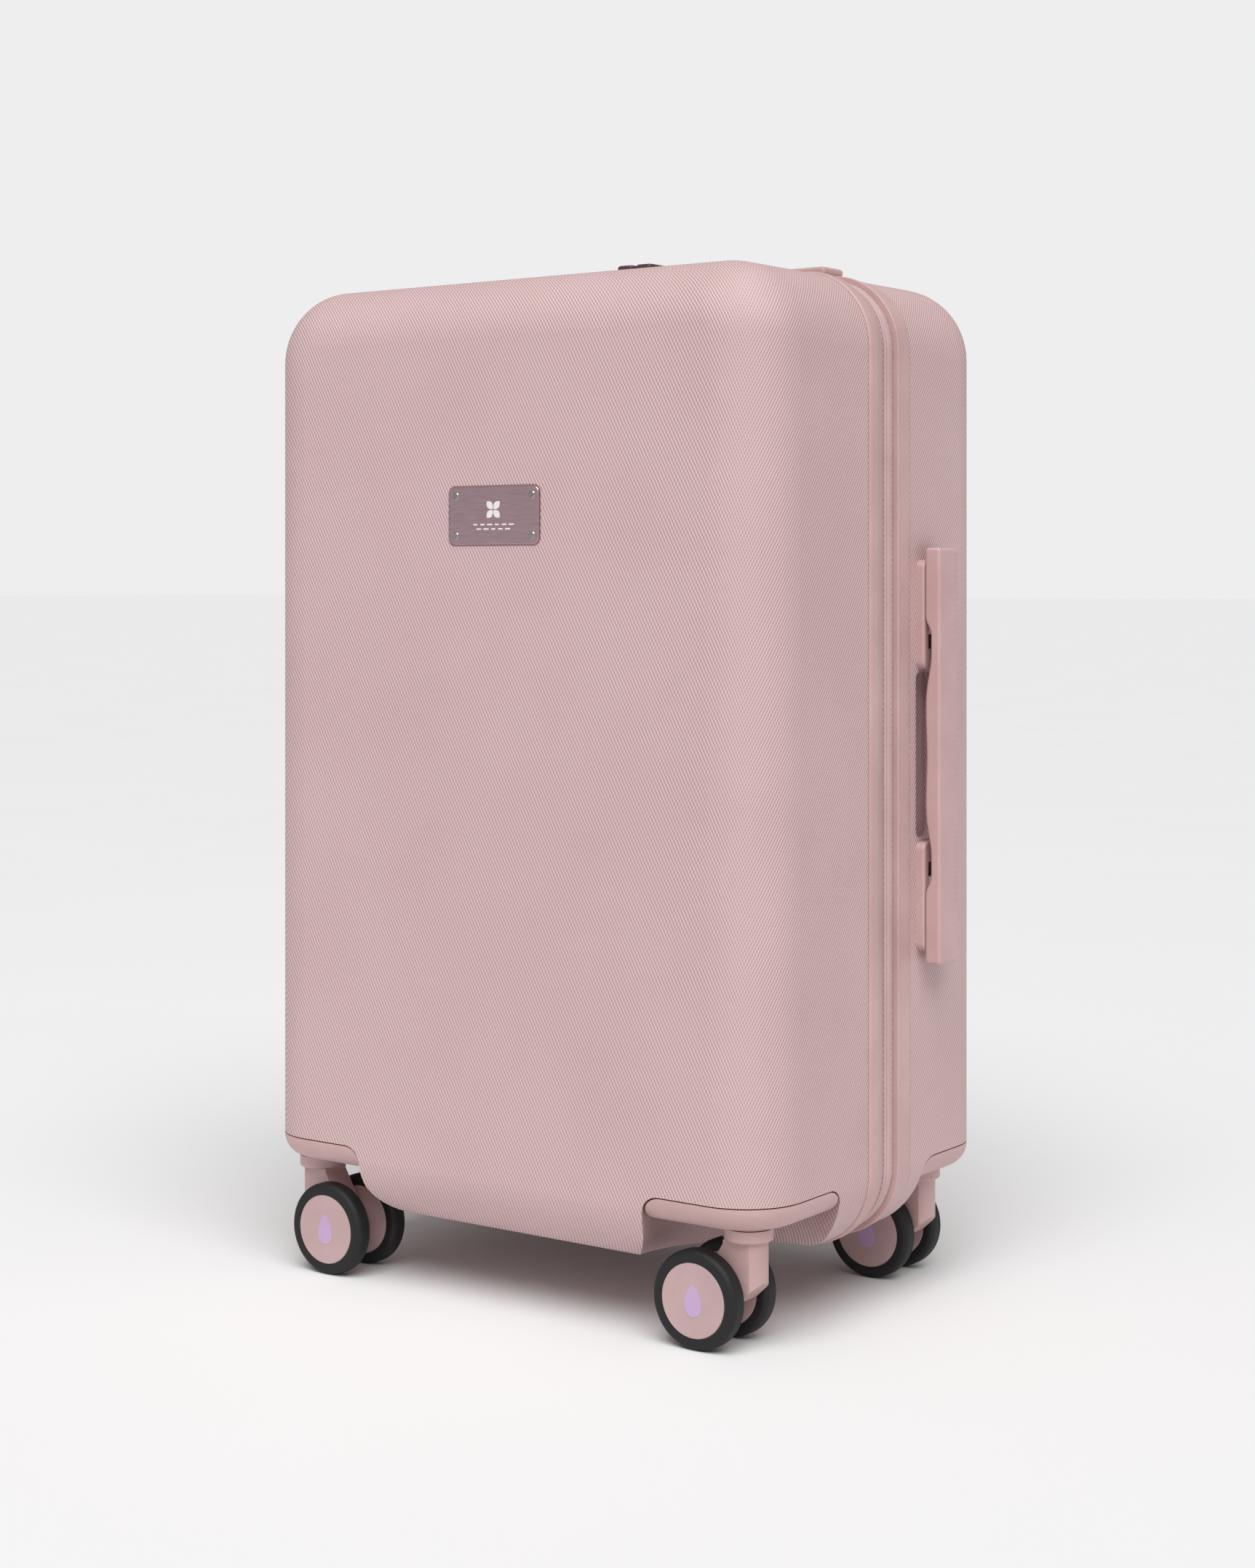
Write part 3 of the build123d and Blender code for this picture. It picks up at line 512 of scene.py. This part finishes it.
def webbingArm(name, centre, way, layerY):   # one arm from the buckle to its sewn end tab
    side = Vector((way.z, 0, -way.x))
    points = []
    steps = straps["steps"]
    profile = [(-0.5, 0.15), (-0.46, 0.5), (0.46, 0.5), (0.5, 0.15),
               (0.5, -0.15), (0.46, -0.5), (-0.46, -0.5), (-0.5, -0.15)]
    for step in range(steps + 1):
        share = step / steps
        lift = straps["bow"] * math.sin(math.pi * share)
        place = centre + way * (straps["start"] + (straps["halfLength"] - straps["start"]) * share)
        place.y = layerY - lift
        points.extend(place + side * straps["width"] * across + Vector((0, straps["thickness"] * out, 0))
                      for across, out in profile)
    size = len(profile)
    faces = [tuple(range(size)), tuple(range(steps * size, (steps + 1) * size))]
    for step in range(steps):
        for corner in range(size):
            ahead = (corner + 1) % size
            faces.append((step * size + corner, step * size + ahead, (step + 1) * size + ahead,
                          (step + 1) * size + corner))
    piece = newPiece(name, meshOf(name, points, faces), "rear_case", "wovenWebbing", False)
    points, faces = [], []
    tabMiddle = centre + way * (straps["halfLength"] - straps["tabLength"] / 2)
    tabMiddle.y = layerY - straps["thickness"] * 0.5 - straps["stitchRise"]
    out = Vector((0, -1, 0))
    width, length, count = straps["width"], straps["tabLength"], straps["tabStitches"]
    for number in range(count):   # box of stitches on the end tab
        shift = 0.8 * (number - (count - 1) / 2) / count
        for edge in (-1, 1):
            addBlock(points, faces, tabMiddle + side * width * shift + way * edge * length * 0.36,
                     (side, way, out), straps["endStitch"])
            addBlock(points, faces, tabMiddle + way * length * shift + side * edge * width * 0.38,
                     (way, side, out), straps["sideStitch"])
    newPiece(name + "Stitches", meshOf(name + "Stitches", points, faces), "rear_case", "sewingThread",
             False)
    return piece


# flat outline in X and Z, given a depth in Y
def extrudedPlate(name, outline, depths, body, material, bevel=0):
    size = len(outline)
    points = [Vector((x, depth, z)) for depth in depths for x, z in outline]
    faces = [tuple(range(size)), tuple(range(size, 2 * size))]
    faces.extend((step, (step + 1) % size, size + (step + 1) % size, size + step) for step in range(size))
    piece = newPiece(name, meshOf(name, points, faces), body, material, False)
    if bevel:
        edge = piece.modifiers.new("softEdge", "BEVEL")
        edge.width = bevel
        edge.segments = 3
        edge.limit_method = "ANGLE"


def crossStraps():
    low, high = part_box("cross_straps")
    middle = (low + high) / 2
    for layer, sign in ((0, 1), (1, -1)):
        angle = math.radians(straps["angle"] * sign)
        layerY = high.y - straps["thickness"] / 2 - layer * straps["layerStep"]
        for end in (-1, 1):
            way = Vector((math.sin(angle) * end, 0, math.cos(angle) * end))
            name = "strap" + ("Up" if end > 0 else "Down") + ("Right" if way.x > 0 else "Left")
            webbingArm(name, middle.copy(), way, layerY)
    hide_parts("cross_straps")
    wide, tall, deep = straps["buckle"]
    back = high.y - straps["buckleUnder"]
    socket = [(-0.5, -0.5), (0.5, -0.5), (0.5, 0.1), (0.36, 0.16), (0.36, 0.02),
              (0.24, -0.04), (-0.24, -0.04), (-0.36, 0.02), (-0.36, 0.16), (-0.5, 0.1)]
    plug = [(-0.5, 0.5), (-0.5, 0.26), (-0.32, 0.22), (-0.3, 0.08), (-0.2, 0.02), (-0.12, 0.1), (-0.12, 0.2),
            (0.12, 0.2), (0.12, 0.1), (0.2, 0.02), (0.3, 0.08), (0.32, 0.22), (0.5, 0.26), (0.5, 0.5)]
    for name, shape in (("buckleSocket", socket), ("bucklePlug", plug)):
        outline = [(middle.x + x * wide, middle.z + z * tall) for x, z in shape]
        extrudedPlate(name, outline, (back - deep, back), "rear_case", "mouldedLock",
                      straps["buckleBevel"])


crossStraps()
print("straps ready")


badge = {
    "lift": 0.18 * mm, "sink": 0.02 * mm, "petalsUp": 3.2 * mm,
    "dash": (3.4 * mm, 0.8 * mm), "dashStep": 1.45, "rows": (-5.2 * mm, -7.6 * mm),
}


def badgePrint():   # plain four-petal mark and two rows of dashes, standing for a maker's print
    low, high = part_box("badge_plate")
    face = low.y - badge["sink"]
    middle = (low + high) / 2
    petal = [(0, 0.4), (1.3, 1.6), (2.0, 3.4), (1.3, 5.0), (0, 6.2),   # mm
             (-1.3, 5.0), (-2.0, 3.4), (-1.3, 1.6)]
    for number in range(4):
        turn = math.radians(45 + 90 * number)
        outline = [(middle.x + (x * math.cos(turn) - z * math.sin(turn)) * mm,
                    middle.z + badge["petalsUp"] + (x * math.sin(turn) + z * math.cos(turn)) * mm)
                   for x, z in petal]
        extrudedPlate(f"badgePetal{number + 1}", outline, (face - badge["lift"], face), "front_case",
                      "printedWhite")
    wide, tall = badge["dash"]
    for row, z in enumerate(badge["rows"]):
        count = 6 - row
        for number in range(count):
            x = middle.x + (number - (count - 1) / 2) * wide * badge["dashStep"]
            length = wide * (0.75 + 0.25 * ((number * 7 + row) % 3) / 2)   # the dashes vary in length
            outline = [(x - length / 2, middle.z + z), (x + length / 2, middle.z + z),
                       (x + length / 2, middle.z + z + tall), (x - length / 2, middle.z + z + tall)]
            extrudedPlate(f"badgeDash{row + 1}_{number + 1}", outline, (face - badge["lift"] * 0.6, face),
                          "front_case", "printedWhite")


badgePrint()
print("badge ready")


hubMark = {"tall": 16.5 * mm, "wide": 10 * mm, "lift": 0.15 * mm, "steps": 20, "lean": 0.35}


def hubMarks():   # plain leaf-shaped mark on the outer face of every wheel
    for corner in ("front_left", "front_right", "rear_left", "rear_right"):
        for letter, way in (("a", -1), ("b", 1)):
            low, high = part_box(f"{corner}_hub_{letter}")
            middle = (low + high) / 2
            face = low.y if way < 0 else high.y
            outline = []
            for step in range(hubMark["steps"]):
                angle = 2 * math.pi * step / hubMark["steps"]
                half = hubMark["wide"] / 2 * (1 - hubMark["lean"] * math.cos(angle))
                outline.append((middle.x + half * math.sin(angle),
                                middle.z + hubMark["tall"] / 2 * math.cos(angle)))
            extrudedPlate(f"hubMark_{corner}_{letter}", outline, sorted((face, face + way * hubMark["lift"])),
                          f"{corner}_wheel_{letter}", "printedLilac")


hubMarks()
print("hub marks ready")


studio = {
    "floorColour": "EAEAEA", "rollerMarks": "EDEDED", "floorHalf": 60,
    "worldColour": "EEEEEE", "worldShare": 0.4,   # the world lights less than it shows
    "sunStrength": 2.42, "sunAngle": 50, "sunTilt": (33, 0, 40),   # degrees
    "keyPower": 8, "keySize": 1.4, "keyPlace": (0.3, -1.5, 2.3), "keyAim": (0, 0, 0.4),
    "cameraPlace": (0.86895, -1.2097, 0.3906), "cameraTurn": 35.849,
    "focalLength": 59.99, "sensorWidth": 36, "shiftX": 0.0015, "shiftY": -0.1282, "farEnd": 200,
}


def paleFloor():
    half = studio["floorHalf"]
    mesh = bpy.data.meshes.new("studioFloor")
    mesh.from_pydata([(-half, -half, 0), (half, -half, 0), (half, half, 0), (-half, half, 0)], [],
                     [(0, 1, 2, 3)])
    floor = bpy.data.objects.new("studioFloor", mesh)
    scene.collection.objects.link(floor)
    material, tree, place = newMaterial("paintedFloor")   # matte studio paint, faint roller marks
    colour = colourMix(tree, noiseOf(tree, place, 3, 2), studio["floorColour"], studio["rollerMarks"])
    finishMaterial(material, tree, {"Base Color": colour, "Roughness": 0.9, "Specular IOR Level": 0.0},
                   studio["floorColour"])
    mesh.materials.append(material)


def lightsAndCamera():
    scene.view_settings.view_transform = "Standard"
    world = bpy.data.worlds.new("studioWorld")
    world.use_nodes = True
    backdrop = world.node_tree.nodes["Background"]
    backdrop.inputs["Color"].default_value = linear(studio["worldColour"])
    seen = addNode(world.node_tree, "ShaderNodeLightPath").outputs["Is Camera Ray"]
    strength = rangeOf(world.node_tree, seen, studio["worldShare"], 1.0)
    world.node_tree.links.new(strength, backdrop.inputs["Strength"])
    scene.world = world
    sun = bpy.data.lights.new("softSun", "SUN")
    sun.energy = studio["sunStrength"]
    sun.angle = math.radians(studio["sunAngle"])
    sunObject = bpy.data.objects.new("softSun", sun)
    sunObject.rotation_euler = [math.radians(angle) for angle in studio["sunTilt"]]
    scene.collection.objects.link(sunObject)
    key = bpy.data.lights.new("softKey", "AREA")
    key.energy = studio["keyPower"]
    key.size = studio["keySize"]
    keyObject = bpy.data.objects.new("softKey", key)
    keyObject.location = studio["keyPlace"]
    aim = Vector(studio["keyAim"]) - keyObject.location
    keyObject.rotation_euler = aim.to_track_quat("-Z", "Y").to_euler()
    scene.collection.objects.link(keyObject)
    lens = bpy.data.cameras.new("studioCamera")
    lens.lens = studio["focalLength"]
    lens.sensor_width = studio["sensorWidth"]
    lens.shift_x = studio["shiftX"]
    lens.shift_y = studio["shiftY"]
    lens.clip_end = studio["farEnd"]
    camera = bpy.data.objects.new("studioCamera", lens)
    camera.location = studio["cameraPlace"]
    camera.rotation_euler = (math.radians(90), 0, math.radians(studio["cameraTurn"]))
    scene.collection.objects.link(camera)
    scene.camera = camera


paleFloor()
lightsAndCamera()
print("studio ready")
